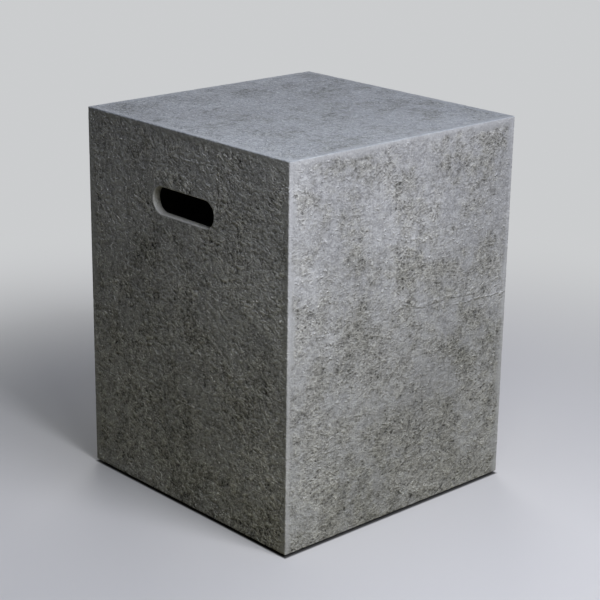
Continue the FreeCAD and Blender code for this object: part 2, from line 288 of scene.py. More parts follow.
def place(side, wall_points):
    """Places of wall points, given along a side, up, and in from its outer face."""
    out, along = side_directions(side)
    u, v, depth = np.moveaxis(np.asarray(wall_points, float), -1, 0)[..., None]
    depth = depth + rim_inset(v - RIM_LEVEL) * (1 - depth / WALL)
    return out * (HALF_WIDTH - depth) + along * u + np.array((0, 0, 1)) * v


def place_outer(side, wall_points):
    """Places of points on an outer face, carried round the upright and top arrises."""
    out, along = side_directions(side)
    u, v, _ = np.moveaxis(np.asarray(wall_points, float), -1, 0)[..., None]
    block = out * HALF_WIDTH + along * u + np.array((0, 0, 1)) * v
    return round_arrises(block, rim_inset(v - RIM_LEVEL))


def round_arrises(points, inset=0.0):
    """Push points on the plain block onto the block with rounded upright and top arrises."""
    reach = HALF_WIDTH - ARRIS_RADIUS
    core = np.clip(points, (-reach, -reach, -math.inf), (reach, reach, TABLE_TOP - ARRIS_RADIUS))
    away = points - core
    return core + away / np.linalg.norm(away, axis=-1, keepdims=True) * (ARRIS_RADIUS - inset)


class Opening:
    """A hole through one wall, whose outline keeps one distance from a short straight spine."""

    def __init__(self, spine, radius, rim_radius, on_rim=False):
        self.spine = [np.array(point, float) for point in spine]
        self.radius = radius
        self.rim_radius = rim_radius
        self.on_rim = on_rim
        self.middle = self.spine[0] if on_rim else sum(self.spine) / 2

    def nearest(self, wall_points):
        """The nearest points of the spine."""
        start, end = self.spine
        run = end - start
        share = np.clip(((wall_points[..., :2] - start) @ run) / (run @ run), 0, 1)
        return start + share[..., None] * run

    def distance(self, wall_points):
        """How far wall points lie from the spine."""
        return np.linalg.norm(wall_points[..., :2] - self.nearest(wall_points), axis=-1)

    def turns(self, wall_points):
        """How far round the opening a line of wall points runs, as angles that only rise."""
        across, up = (wall_points[:, :2] - self.middle).T
        return -np.unwrap(np.arctan2(up, across))

    def cells(self, across, up):
        """The grid lines round the opening, with room for its collar: left, right, low, high."""
        room = self.radius + self.rim_radius + COLLAR_WIDTH
        (u1, v1), (u2, v2) = self.spine
        left, right = (np.abs(across - u).argmin() for u in (u1 - room, u2 + room))
        high = np.abs(up - (v2 + room)).argmin()
        low = 0 if self.on_rim else np.abs(up - (v1 - room)).argmin()
        return left, right, low, high

    def border(self, across, up, depth):
        """The grid's points round the opening, starting at the lower left."""
        left, right, low, high = self.cells(across, up)
        rise, run = up[low : high + 1], across[left + 1 : right]
        line = [(across[left], v) for v in rise] + [(u, up[high]) for u in run]
        line += [(across[right], v) for v in rise[::-1]]
        line += [] if self.on_rim else [(u, up[low]) for u in run[::-1]]
        return at_level(line, depth)

    def leaves(self, across, up):
        """A test for the grid's squares that lie clear of the opening."""
        left, right, low, high = self.cells(across, up)
        return lambda row, column: not (low <= row < high and left <= column < right)

    def outline(self, border, radius, depth):
        """The border drawn in towards the spine, to one distance from it and one depth."""
        nearest = self.nearest(border)
        away = border[:, :2] - nearest
        flat = nearest + away / np.linalg.norm(away, axis=1, keepdims=True) * radius
        return at_level(flat, depth)

    def throat(self, border):
        """Outlines from the eased outer rim through the wall to its eased inner edge."""
        rim, shapes = self.rim_radius, []
        for turn in np.linspace(0, math.pi / 2, ROUND_STEPS + 1):
            shapes.append((self.radius + rim * (1 - math.sin(turn)), rim * (1 - math.cos(turn))))
        for depth in np.linspace(rim, WALL - INNER_EASE, REVEAL_STEPS + 1)[1:]:
            shapes.append((self.radius, depth))
        for turn in np.linspace(0, math.pi / 2, INNER_EASE_STEPS + 1)[1:]:
            radius = self.radius + INNER_EASE * (1 - math.cos(turn))
            shapes.append((radius, WALL - INNER_EASE * (1 - math.sin(turn))))
        return np.array([self.outline(border, radius, depth) for radius, depth in shapes])

    def collar(self, border):
        """Lines from the grid's border in to the eased outer rim."""
        rim = self.outline(border, self.radius + self.rim_radius, 0.0)
        shares = np.linspace(0, 1, COLLAR_STEPS + 1)[:, None, None]
        return border * (1 - shares) + rim * shares


def make_openings():
    reach = (SLOT_LENGTH - SLOT_HEIGHT) / 2
    spine = ((-reach, SLOT_LEVEL), (reach, SLOT_LEVEL))
    openings = {side: Opening(spine, SLOT_HEIGHT / 2, SLOT_RIM_RADIUS) for side in SLOTTED_SIDES}
    spine = ((0, RIM_LEVEL - NOTCH_SIDE), (0, RIM_LEVEL + NOTCH_SIDE))
    openings[NOTCHED_SIDE] = Opening(spine, NOTCH_WIDTH / 2, RIM_EASE, on_rim=True)
    return openings


OPENINGS = make_openings()


def edge_distance(side, wall_points):
    """How far points on an outer side lie from its nearest arris, rim or opening."""
    u, v = wall_points[..., 0], wall_points[..., 1]
    near = np.minimum(HALF_WIDTH - np.abs(u), np.minimum(TABLE_TOP - v, v - RIM_LEVEL))
    if side in OPENINGS:
        opening = OPENINGS[side]
        near = np.minimum(near, opening.distance(wall_points) - opening.radius)
    return np.maximum(near, 0)


def add_outer_side(skin, side):
    """One outer face, as a grid with a collar round its opening, if it has one."""
    u, v = np.meshgrid(ACROSS, UP)
    grid = np.stack([u, v, np.zeros_like(u)], axis=-1)
    opening = OPENINGS.get(side)
    keep = opening.leaves(ACROSS, UP) if opening else None
    skin.add_rows(place_outer(side, grid), CAST, edge_distance(side, grid), keep=keep)
    if opening:
        border = opening.border(ACROSS, UP, 0.0)
        collar, throat = opening.collar(border), opening.throat(border)
        near, closed = edge_distance(side, collar), not opening.on_rim
        skin.add_rows(place(side, collar), CAST, near, closed=closed)
        skin.add_rows(place(side, throat), REVEAL, closed=closed)
        fine, coarse = throat[-1], opening.border(INNER_ACROSS, INNER_UP, WALL)
        if closed:
            fine, coarse = (np.vstack([line, line[:1]]) for line in (fine, coarse))
        turns = opening.turns(fine), opening.turns(coarse)
        skin.add_zip(place(side, fine), place(side, coarse), *turns, BACK)


def add_table_top(skin):
    """The flat top and its half of the top arrises."""
    x, y = np.meshgrid(ACROSS, ACROSS)
    block = np.stack([x, y, np.full_like(x, TABLE_TOP)], axis=-1)
    near = np.minimum(HALF_WIDTH - np.abs(x), HALF_WIDTH - np.abs(y))
    skin.add_rows(round_arrises(block), CAST, near)


def inner_line(inset, level):
    """The cavity's outline at one level and inset: for each side, its straight run and corner."""
    turns = np.linspace(0, math.pi / 2, CORNER_STEPS + 1)[1:-1, None]
    line = {}
    for side in SIDES:
        out, along = side_directions(side)
        straight = out * (HALF_WIDTH - WALL - inset) + along * INNER_ACROSS[:, None]
        around = (out * np.cos(turns) + along * np.sin(turns)) * (INNER_CORNER_RADIUS - inset)
        line[side] = np.vstack([straight, (out + along) * INNER_REACH + around])
        line[side][:, 2] = level
    return line


def add_inside(skin):
    """The cavity: its walls, the cove and the ceiling, laid by hand against the mould."""
    rows = np.array([np.vstack(list(inner_line(0.0, level).values())) for level in INNER_UP])
    per_side = rows.shape[1] // len(SIDES)
    tests = [
        (list(SIDES).index(side) * per_side, opening.leaves(INNER_ACROSS, INNER_UP))
        for side, opening in OPENINGS.items()
    ]

    def keep(row, column):
        return all(leaves(row, column - first) for first, leaves in tests)

    skin.add_rows(rows, BACK, closed=True, keep=keep)
    spring = CEILING - COVE_RADIUS
    cove = []
    for turn in np.linspace(0, math.pi / 2, COVE_STEPS + 1):
        line = inner_line(COVE_RADIUS * (1 - math.cos(turn)), spring + COVE_RADIUS * math.sin(turn))
        cove.append(np.vstack(list(line.values())))
    skin.add_rows(cove, BACK, closed=True)
    skin.add_flat(CEILING, cove[-1], [], BACK_STEP, BACK)


def circle(middle, radius, sides):
    angles = np.arange(sides) * 2 * math.pi / sides
    return middle[:2] + radius * np.column_stack([np.cos(angles), np.sin(angles)])


def add_seats(skin):
    """Each foot's round seat and the hexagonal socket above it. Returns the seats' outlines."""
    floor = RIM_LEVEL + SEAT_DEPTH
    outlines = []
    for middle in FOOT_MIDDLES.values():
        ring = circle(middle, SEAT_RADIUS, SEAT_SIDES)
        hexagon = circle(middle, ANCHOR_FLATS / math.sqrt(3), HEXAGON_SIDES)
        skin.add_rows([at_level(ring, RIM_LEVEL), at_level(ring, floor)], SEAT, closed=True)
        skin.add_flat(floor, ring, [hexagon], SEAT_RADIUS, SEAT)
        socket = [at_level(hexagon, floor), at_level(hexagon, ANCHOR_TOP)]
        skin.add_rows(socket, SEAT, closed=True)
        skin.add(socket[1], [list(range(HEXAGON_SIDES))], SEAT)
        outlines.append(ring)
    return outlines


def round_from_notch(line, left, right):
    """A line given side by side, opened at the notch: from its right bank round to its left."""
    rear = line[NOTCHED_SIDE]
    return [rear[right:], line["left"], line["front"], line["right"], rear[: left + 1]]


def add_rim(skin, seats):
    """The level underside of the walls, broken by the notch and let in for the feet."""
    notch = OPENINGS[NOTCHED_SIDE]
    left, right, *_ = notch.cells(ACROSS, UP)
    low_edge = np.column_stack([ACROSS[:-1], np.full(len(ACROSS) - 1, RIM_LEVEL), 0 * ACROSS[:-1]])
    outer = round_from_notch({side: place_outer(side, low_edge) for side in SIDES}, left, right)
    border = notch.border(ACROSS, UP, 0.0)
    collar, throat = notch.collar(border), notch.throat(border)
    banks = [place(NOTCHED_SIDE, np.vstack([collar[:, end], throat[1:, end]])) for end in (0, -1)]
    inner_left, inner_right, *_ = notch.cells(INNER_ACROSS, INNER_UP)
    inner = round_from_notch(inner_line(0.0, RIM_LEVEL), inner_left, inner_right)
    outline = np.vstack([*outer, banks[0][1:], np.vstack(inner)[::-1], banks[1][:0:-1]])
    skin.add_flat(RIM_LEVEL, outline, seats, RIM_STEP, RIM)


def make_casting_mesh():
    skin = Skin()
    for side in SIDES:
        add_outer_side(skin, side)
    add_table_top(skin)
    add_inside(skin)
    add_rim(skin, add_seats(skin))
    return skin.mesh("casting_plain")


# The concrete's noises: size in metres, detail, roughness and, where they have it, distortion
PATCHES = (0.046, 7.0, 0.7)
CLOUDS = (0.130, 4.0, 0.6)
WAVES = (0.110, 2.0, 0.5)
LUMPS = (0.013, 3.0, 0.6)
CHIPS = (0.011, 4.0, 0.6)
KNOBS = (0.0080, 3.0, 0.62)
GRAIN = (0.0034, 2.0, 0.65)
MOTTLE = (0.016, 2.0, 0.5)
FLECKS = (0.0062, 1.0, 0.5)
FLECK_CROWDS = (0.092, 2.0, 0.5)
PIT_CROWDS = (0.015, 3.0, 0.6)
STREAKS = (0.0024, 2.0, 0.5)
BRUSH_LINES = (0.0045, 2.0, 0.5)
BRUSH_PATCHES = (0.065, 2.0, 0.5)
WANDER = (0.045, 3.0, 0.5)
MARK_BREAKS = (0.0062, 2.0, 0.5)
CUT_CLOUDS = (0.012, 4.0, 0.6)
CUT_GRAIN = (0.0034, 3.0, 0.6)
BACK_CLOUDS = (0.050, 5.0, 0.6)
BACK_LUMPS = (0.034, 3.0, 0.65, 0.4)
CLOTS = (0.0070, 4.0, 0.65)
FIBRES = (0.0016, 1.0, 0.5, 2.0)

# Soft steps over a noise or a share: from one value to another, and perhaps the results at both
MIDDLE = (0.35, 0.65)
SKIM_STEP = (0.64, 0.38)
WAVE_STEP = (0.3, 0.8)
LUMP_STEP = (0.3, 0.9)
CHIP_STEP = (0.50, 0.85)
FLECK_STEP = (0.62, 0.74)
FLECK_CROWD_STEP = (0.40, 0.60, 0.3, 1.0)
PIT_RIM = (0.0, 0.14)
PIT_CROWD_STEP = (0.42, 0.66, 0.05, 0.42)
PIT_BARE_STEP = (0.25, 0.85, 0.08, 1.0)
BRUSH_STEP = (0.58, 0.72)
BRUSH_PATCH_STEP = (0.42, 0.58)
MARK_BREAK_STEP = (0.38, 0.58, 0.25, 1.0)
EDGE_WANDER = (*MIDDLE, -0.007, 0.002)
BARE_STRENGTH = (0.0, 1.0, 0.6, 1.1)
CAST_ROUGHNESS = (0.0, 1.0, 0.78, 0.93)
FIBRE_STEP = (0.60, 0.72)

# How much the skim's noise is raised at the rim and at the table top
LOW_LIFT, HIGH_LIFT = -0.04, 0.05

# The pits' spacing, how far they stray from it and how finely, and how much bare ground widens them
PIT_SPACING, PIT_STRAY, STRAY_SCALE = 0.0050, 0.0030, 120.0
PIT_WIDENING = 0.12

# How much a noise is squeezed along each axis, which draws it out along the others
TROWELLED = (1.0, 1.0, 1.2)
STREAKED = (1.0, 1.0, 0.04)
BRUSHED = (0.04, 0.04, 1.0)
FIBRE_DRAWN = (1.0, 1.0, 0.25)

# How deep each feature is pressed into the mesh, in metres
WAVE_DEPTH, LUMP_DEPTH, SKIM_DEPTH = 0.0005, 0.0005, 0.00012
CHIP_DEPTH, BACK_LUMP_DEPTH = 0.0007, 0.0016

# How high each feature of the bumps stands, in metres
KNOB_HEIGHT, GRAIN_HEIGHT, FLECK_HEIGHT, PIT_HEIGHT = 0.0030, 0.0018, 0.0013, -0.0008
BRUSH_HEIGHT, CLOT_HEIGHT, FIBRE_HEIGHT = 0.0008, 0.0012, 0.00015

# Bands beside an edge or a face, as distances from it in metres
WORN_BAND = (0.0, 0.004)
SMOOTH_BAND = (0.002, 0.009)
EDGE_STRENGTH = (*SMOOTH_BAND, 0.5, 1.0)
PALE_STRIP = (0.0075, 0.0045)
# A paler line on every arris: partly sanded wear, partly a painted highlight
SANDED_HIGHLIGHT_BAND = (0.0022, 0.0008)
TOP_BAND = (0.0016, 0.0006)
SIDE_BAND = (0.002, 0.0008)
MARKED_BAND = (0.012, 0.001)

# The levels from which the brush lines are missing and below which they are whole
BRUSHED_LEVELS = (TABLE_TOP / 2, TABLE_TOP / 3)

# How much of a mark's width and of its length is at full strength
MARK_CORE, MARK_MIDDLE = 0.3, 0.6

# How strong a feature is on the table top or the slotted sides, where it is one elsewhere
TOP_LUMPS, TOP_BARE, TOP_PITS, TOP_STRIP = 0.4, 0.7, 0.4, 0.3
# On the slotted sides the speckle's bumps are stronger, and so is its tone: the stronger tone is painted
# light, the lamps raking across those faces.
SIDE_COARSENESS_AND_PAINTED_LIGHT, SIDE_PITS, SIDE_STRIP = 1.7, 0.5, 0.0

# The casting's plain tone, and how much each feature adds to it or takes from it
PLAIN_TONE = 0.80
GRAIN_TONE, KNOB_TONE, MOTTLE_TONE, FLECK_TONE, PIT_TONE = 1.65, 1.05, 0.65, 0.50, -0.30
CLOUD_TONE, STREAK_TONE, BRUSH_TONE, STRIP_TONE, SANDED_HIGHLIGHT_TONE = 0.16, 0.25, 0.14, 0.14, 0.12

# Concrete's colours
SKIM_COLOUR = (0.316, 0.323, 0.330, 1)
BODY_COLOUR = (0.290, 0.292, 0.284, 1)
OLIVE_COLOUR = (0.256, 0.257, 0.238, 1)
# The cut faces are paler than the outer ones: partly their own finish, partly painted light for the
# slots' throats, which the lamps reach only in part.
CUT_COLOUR = (0.500, 0.500, 0.490, 1)
DARK_CUT_COLOUR = (0.420, 0.420, 0.4116, 1)
FIBRE_COLOUR = (0.440, 0.442, 0.440, 1)
BACK_COLOUR = (0.200, 0.198, 0.188, 1)
DARK_BACK_COLOUR = (0.136, 0.13464, 0.12784, 1)
# Painted light: a warm tint low down for the floor's bounce, a cool one high up, and a darker, bluer one
# on the table top for the light from above.
LOW_PAINTED_LIGHT_TINT = (1.0, 1.0, 0.955, 1)
HIGH_PAINTED_LIGHT_TINT = (1.0, 1.0, 1.025, 1)
TOP_PAINTED_LIGHT_TINT = (0.868, 0.900, 0.938, 1)
FIBRE_SHARE = 0.5

# Broad paler and darker clouds on the outside: paler near the front left corner and high on the
# front, darker low down and at the front's right end. Their middle, their reach and their change of tone
BROAD_TONE_PATCHES = (
    ((-HALF_WIDTH, -0.150, 0.320), 0.150, 0.18),
    ((-HALF_WIDTH, -0.170, 0.060), 0.120, 0.18),
    ((-HALF_WIDTH, 0.010, 0.150), 0.120, -0.09),
    ((-0.180, -HALF_WIDTH, 0.430), 0.120, 0.09),
    ((0.000, -HALF_WIDTH, 0.380), 0.130, 0.16),
    ((0.050, -HALF_WIDTH, 0.160), 0.125, -0.19),
    ((0.190, -HALF_WIDTH, 0.400), 0.130, -0.08),
)

# Faint marks from the float and from handling, and below the first a darker line that is partly a
# groove and partly painted shadow. Each runs along one axis of its face, from one place to another,
# and lies a distance below the table top or, if upright, at a place along the face. Then come its
# slope, its half width, how far it wanders, its height and its change of tone.
FRONT, LEFT = 0, 1
LEVEL, UPRIGHT = 0, 1
MARKS = (
    (FRONT, LEVEL, -0.045, 0.165, 0.230, 0.055, 0.0032, 0.018, 0.0009, 0.19),
    # A darker line just below the first: partly a shallow groove, partly painted shadow under it
    (FRONT, LEVEL, 0.000, 0.100, 0.233, 0.055, 0.0015, 0.018, -0.0004, -0.12),
    (FRONT, LEVEL, 0.090, 0.215, 0.244, 0.020, 0.0016, 0.012, 0.0008, 0.12),
    (FRONT, LEVEL, 0.000, 0.185, 0.083, 0.010, 0.0024, 0.022, -0.0003, -0.12),
    (FRONT, UPRIGHT, 0.090, 0.124, -0.149, 0.350, 0.0014, 0.010, 0.0012, 0.16),
    (LEFT, LEVEL, -0.078, 0.030, 0.034, 0.040, 0.0016, 0.010, 0.0010, 0.26),
)


# The numbers of a colour mix's inputs and of its output
FIRST_COLOUR, SECOND_COLOUR, MIXED_COLOUR = 6, 7, 2


class Value:
    """A node's output. Arithmetic on it, and its own functions, make more nodes."""

    def __init__(self, recipe, socket):
        self.recipe = recipe
        self.socket = socket

    def maths(self, operation, *others):
        return self.recipe.node("ShaderNodeMath", (self, *others), operation=operation)

    def vector(self, operation, *others, output=0):
        kind = "ShaderNodeVectorMath"
        return self.recipe.node(kind, (self, *others), output, operation=operation)

    def __add__(self, other):
        return self.maths("ADD", other)

    def __mul__(self, other):
        return self.maths("MULTIPLY", other)

    def __sub__(self, other):
        return self.maths("SUBTRACT", other)

    def __rsub__(self, other):
        return self.recipe.node("ShaderNodeMath", (other, self), operation="SUBTRACT")

    def __abs__(self):
        return self.maths("ABSOLUTE")

    def ramp(self, low, high, start=0.0, end=1.0):
        """A soft step from start to end as this value goes from low to high."""
        inputs = (self, low, high, start, end)
        return self.recipe.node("ShaderNodeMapRange", inputs, interpolation_type="SMOOTHSTEP")

    def blend(self, first, second):
        """From the first colour to the second by this share."""
        inputs = {0: self, FIRST_COLOUR: first, SECOND_COLOUR: second}
        return self.recipe.node("ShaderNodeMix", inputs, MIXED_COLOUR, data_type="RGBA")

    def stretch(self, factors):
        """This place or colour with each of its three values multiplied."""
        return self.vector("MULTIPLY", factors)

    def shade(self, tone):
        """This colour or direction scaled by a factor."""
        inputs = {0: self, "Scale": tone}
        return self.recipe.node("ShaderNodeVectorMath", inputs, operation="SCALE")

    def parts(self):
        """The three values of this place: across, along and up."""
        return [self.recipe.node("ShaderNodeSeparateXYZ", (self,), name) for name in "XYZ"]


class Recipe:
    """Puts nodes into a tree. An input may be a plain value or another node's output."""

    def __init__(self, tree, place_kind=None, output=0):
        self.tree = tree
        self.place = self.node(place_kind, (), output) if place_kind else None

    def feed(self, socket, value):
        if isinstance(value, Value):
            self.tree.links.new(value.socket, socket)
        else:
            socket.default_value = value

    def node(self, kind, inputs=(), output=0, **settings):
        """A new node's output. Its inputs come in their order, or by their numbers or names."""
        made = self.tree.nodes.new(kind)
        for name, value in settings.items():
            setattr(made, name, value)
        named = inputs if isinstance(inputs, dict) else dict(enumerate(inputs))
        for name, value in named.items():
            self.feed(made.inputs[name], value)
        return Value(self, made.outputs[output])

    def height(self):
        return self.place.parts()[2]

    def noise(self, kind, place=None):
        """A noise whose kind gives its size, detail, roughness and perhaps its distortion."""
        size, *rest = kind
        inputs = dict(zip(("Detail", "Roughness", "Distortion"), rest), Scale=1 / size)
        inputs["Vector"] = place or self.place
        return self.node("ShaderNodeTexNoise", inputs)

    def show(self, share, first, second, output):
        """End in the first shader's light or the second's, by a share."""
        both = self.node("ShaderNodeMixShader", (share, first, second))
        self.feed(self.tree.nodes[output].inputs["Surface"], both)


def bare_share(recipe):
    """Where no smooth skim of cement covers the pits, from 0 to 1: mostly lower down."""
    lift = recipe.height().ramp(RIM_LEVEL, TABLE_TOP, LOW_LIFT, HIGH_LIFT)
    return (recipe.noise(PATCHES) + lift).ramp(*SKIM_STEP)


def top_share(recipe, least=0.0, most=1.0):
    """A value that goes from least on the sides to most on the table top."""
    band = (TABLE_TOP - drop for drop in TOP_BAND)
    return recipe.height().ramp(*band, least, most)


def side_share(recipe, least=0.0, most=1.0):
    """A value that goes from least on the other faces to most on the two slotted ones."""
    band = (HALF_WIDTH - gap for gap in SIDE_BAND)
    return abs(recipe.place.parts()[0]).ramp(*band, least, most)


def make_relief():
    """Nodes that press relief into the outer faces and make the inside lumpy."""
    tree = bpy.data.node_groups.new("casting_relief", "GeometryNodeTree")
    for direction in ("INPUT", "OUTPUT"):
        tree.interface.new_socket("Geometry", in_out=direction, socket_type="NodeSocketGeometry")
    recipe = Recipe(tree, "GeometryNodeInputPosition")
    edge, is_back, is_seat = (
        recipe.node("GeometryNodeInputNamedAttribute", {"Name": name})
        for name in ("edge_distance", "is_back", "is_seat")
    )
    bare = bare_share(recipe) * SKIM_DEPTH
    waves = recipe.noise(WAVES).ramp(*WAVE_STEP) * WAVE_DEPTH
    lumps = recipe.noise(LUMPS).ramp(*LUMP_STEP) * LUMP_DEPTH * top_share(recipe, 1.0, TOP_LUMPS)
    chips = recipe.noise(CHIPS).ramp(*CHIP_STEP) * edge.ramp(*WORN_BAND, 1.0, 0.0) * CHIP_DEPTH
    outer = ((bare + waves + lumps) * edge.ramp(*SMOOTH_BAND) + chips) * (1 - is_back)
    inner = (recipe.noise(BACK_LUMPS) - 0.5) * is_back * BACK_LUMP_DEPTH
    depth = (outer + inner) * (1 - is_seat) * -1
    offset = recipe.node("GeometryNodeInputNormal").shade(depth)
    inputs = {"Geometry": recipe.node("NodeGroupInput"), "Offset": offset}
    pressed = recipe.node("GeometryNodeSetPosition", inputs)
    finish = tree.nodes.new("NodeGroupOutput")
    recipe.feed(finish.inputs[0], pressed)
    return tree


# The map for baked pictures: the outer faces square on at full scale and, in what is left, the inside
# and the rim at smaller scales and the openings' edges. Sizes are in metres.
MAP_NAME = "OFBake"
MAP_SIDE = 1.236
MAP_GAP = 0.004
INSIDE_SCALE, RIM_SCALE, THROAT_SCALE = 0.5, 0.4, 2.0
THROAT_PITCH = 0.045
OUTER_CELLS = np.array([(0, 0), (1, 0), (0, 1), (1, 1), (2, 0)])
INNER_CELLS = np.array([(0, 0), (1, 0), (0, 1), (1, 1), (0, 2)])
ONE_CELL = np.zeros((5, 2))


def nearest_flat(points, half_width, top):
    """Which flat face of a block points lie nearest: a side by its number, or its top."""
    outs = np.array([side_directions(side)[0] for side in SIDES])
    return np.column_stack([points @ outs.T, points[:, 2] - top + half_width]).argmax(1)


def square_on(points, owners, half_width, low, way):
    """Places of points along and up the flat face that each belongs to, seen from outside or inside."""
    ways = np.array([side_directions(side)[1] for side in SIDES] + [(1, 0, 0)])
    rises = np.array([(0, 0, 1)] * len(SIDES) + [(0, 1, 0)])
    starts = np.array([-low] * len(SIDES) + [half_width])
    across = way * (points * ways[owners]).sum(1) + half_width
    return np.column_stack([across, (points * rises[owners]).sum(1) + starts[owners]])


def round_opening(points, centres, side):
    """Places of a throat's points round its opening and in through the wall, by their faces' centres."""
    out, along = side_directions(side)
    opening = OPENINGS[side]
    half = (opening.spine[1] - opening.spine[0]) / 2
    reach = np.linalg.norm(half)
    way, across = half / reach, np.array((-half[1], half[0])) / reach

    def seen(places):
        wall = np.column_stack([places @ along, places[:, 2]])
        nearest = opening.nearest(wall)
        away = wall - nearest
        run = (nearest - opening.spine[0]) @ way - reach
        return run, np.linalg.norm(away, axis=1), np.arctan2(away @ across, away @ way)

    run, gap, turn = seen(points)
    facing = seen(centres)[2]
    turn = facing + (turn - facing + math.pi) % (2 * math.pi) - math.pi
    distance = turn * opening.radius - np.sign(facing) * run - 2 * reach * (facing < 0)
    depth = HALF_WIDTH - points @ out
    flare = np.where(depth < WALL / 2, opening.radius - gap, gap - opening.radius)
    return np.column_stack([distance, depth + flare])


def add_map(mesh):
    """Lay the outer faces side by side, the inside beside them, and the rim and throats above them."""
    zones = array_of(mesh.polygons, "material_index", int)
    centres = array_of(mesh.polygons, "center", width=3)
    sizes = array_of(mesh.polygons, "loop_total", int)
    corners = array_of(mesh.vertices, "co", width=3)[array_of(mesh.loops, "vertex_index", int)]
    column, row = 2 * HALF_WIDTH + MAP_GAP, TABLE_TOP - RIM_LEVEL + MAP_GAP
    outer = ((CAST,), HALF_WIDTH, TABLE_TOP, OUTER_CELLS, 1.0, (0, 0), 1)
    inner = ((BACK,), HALF_WIDTH - WALL, CEILING, INNER_CELLS, INSIDE_SCALE, (2 * column, column), -1)
    under = ((RIM, SEAT), HALF_WIDTH, RIM_LEVEL, ONE_CELL, RIM_SCALE, (0, 2 * row), -1)
    laid = np.zeros((len(corners), 2))
    for kinds, half_width, top, cells, scale, start, way in (outer, inner, under):
        chosen = np.repeat(np.isin(zones, kinds), sizes)
        owners = np.repeat(nearest_flat(centres, half_width, top), sizes)[chosen]
        cell = np.array((2 * half_width, top - RIM_LEVEL)) * scale + MAP_GAP
        places = square_on(corners[chosen], owners, half_width, RIM_LEVEL, way)
        laid[chosen] = start + cells[owners] * cell + places * scale
    owners = nearest_flat(centres, HALF_WIDTH, TABLE_TOP)
    start = np.array((RIM_SCALE * 2 * HALF_WIDTH + MAP_GAP, 2 * row))
    for number, side in enumerate(OPENINGS):
        chosen = np.repeat((zones == REVEAL) & (owners == list(SIDES).index(side)), sizes)
        middles = np.repeat(centres, sizes, axis=0)[chosen]
        places = round_opening(corners[chosen], middles, side)
        places = (places - places.min(0)) * THROAT_SCALE
        laid[chosen] = start + (0, number * THROAT_PITCH) + places
    layer = mesh.uv_layers.new(name=MAP_NAME)
    layer.data.foreach_set("uv", ((laid + MAP_GAP / 2) / MAP_SIDE).ravel())


def add_object(name, data):
    """A new object of the scene."""
    made = bpy.data.objects.new(name, data)
    bpy.context.scene.collection.objects.link(made)
    return made


def make_casting():
    """The casting's detailed mesh, with its relief pressed in."""
    plain = add_object("casting_plain", make_casting_mesh())
    plain.modifiers.new("relief", "NODES").node_group = make_relief()
    view = bpy.context.evaluated_depsgraph_get()
    mesh = bpy.data.meshes.new_from_object(plain.evaluated_get(view), depsgraph=view)
    bpy.data.objects.remove(plain)
    mesh.shade_smooth()
    mesh.set_sharp_from_angle(angle=SHARP_ANGLE)
    add_map(mesh)
    return add_object("concrete_casting", mesh)


class Surface(Recipe):
    """The nodes of a material, which feed its Principled shader."""

    def __init__(self, name, **values):
        self.material = bpy.data.materials.new(name)
        self.material.use_nodes = True
        self.material.cycles.use_bump_map_correction = False
        super().__init__(self.material.node_tree, "ShaderNodeTexCoord", "Object")
        self.shader = self.tree.nodes["Principled BSDF"]
        self.feed_shader(**values)

    def feed_shader(self, **values):
        for name, value in values.items():
            self.feed(self.shader.inputs[name.replace("_", " ")], value)

    def finish(self, height, **values):
        """Tilt the shader's normal by a height in metres, and feed it the rest."""
        inputs = {"Height": height, "Distance": 1.0, "Strength": 1.0}
        self.feed_shader(Normal=self.node("ShaderNodeBump", inputs), **values)
        return self.material


def arris_distance(recipe):
    """How far a point of an outer face lies from the nearest arris: the middle one of three."""
    x, y, z = recipe.place.parts()
    across, along, down = HALF_WIDTH - abs(x), HALF_WIDTH - abs(y), TABLE_TOP - z
    lesser, greater = (across.maths(kind, along) for kind in ("MINIMUM", "MAXIMUM"))
    return lesser.maths("MAXIMUM", greater.maths("MINIMUM", down))


def pit_share(recipe, bare):
    """Small holes of uneven size, crowded where the skim is missing."""
    inputs = {"Vector": recipe.place, "Scale": STRAY_SCALE}
    wobble = recipe.node("ShaderNodeTexNoise", inputs, "Color")
    inputs = {"Vector": recipe.place.vector("ADD", wobble.shade(PIT_STRAY)), "Scale": 1 / PIT_SPACING}
    reach = recipe.noise(PIT_CROWDS).ramp(*PIT_CROWD_STEP) + bare * PIT_WIDENING
    depth = reach - recipe.node("ShaderNodeTexVoronoi", inputs, "Distance")
    pits = depth.ramp(*PIT_RIM) * bare.ramp(*PIT_BARE_STEP)
    return pits * side_share(recipe, 1.0, SIDE_PITS) * top_share(recipe, 1.0, TOP_PITS)


def add_broad_tone_patches(recipe, tone):
    """The tone, changed over the broad clouds."""
    change = 1.0
    for middle, reach, strength in BROAD_TONE_PATCHES:
        away = recipe.place.vector("DISTANCE", middle, output="Value")
        change = away.ramp(reach, 0.0, 0.0, strength) + change
    return tone * change


def mark_share(along, drop, wander, mark):
    """One on the line of a mark and nothing beside it, fading at its ends."""
    start, end, level, slope, width, swing = mark
    middle, half = (start + end) / 2, (end - start) / 2
    run = along - middle
    gap = abs(drop - (run * slope + wander * swing + level))
    return gap.ramp(width, MARK_CORE * width) * abs(run).ramp(half, MARK_MIDDLE * half)


def add_marks(recipe, tone, height):
    """The tone and the height, changed along the faint marks, which noise breaks up."""
    x, y, z = recipe.place.parts()
    wander = recipe.noise(WANDER) - 0.5
    broken = recipe.noise(MARK_BREAKS).ramp(*MARK_BREAK_STEP)
    band = [gap - HALF_WIDTH for gap in MARKED_BAND]
    faces = [(along, across.ramp(*band) * broken) for along, across in ((x, y), (y, x))]
    for face, way, *mark, rise, change in MARKS:
        along, on_face = faces[face]
        line = (along, TABLE_TOP - z) if way == LEVEL else (TABLE_TOP - z, along)
        share = mark_share(*line, wander, mark) * on_face
        tone += share * change
        height += share * rise
    return tone, height


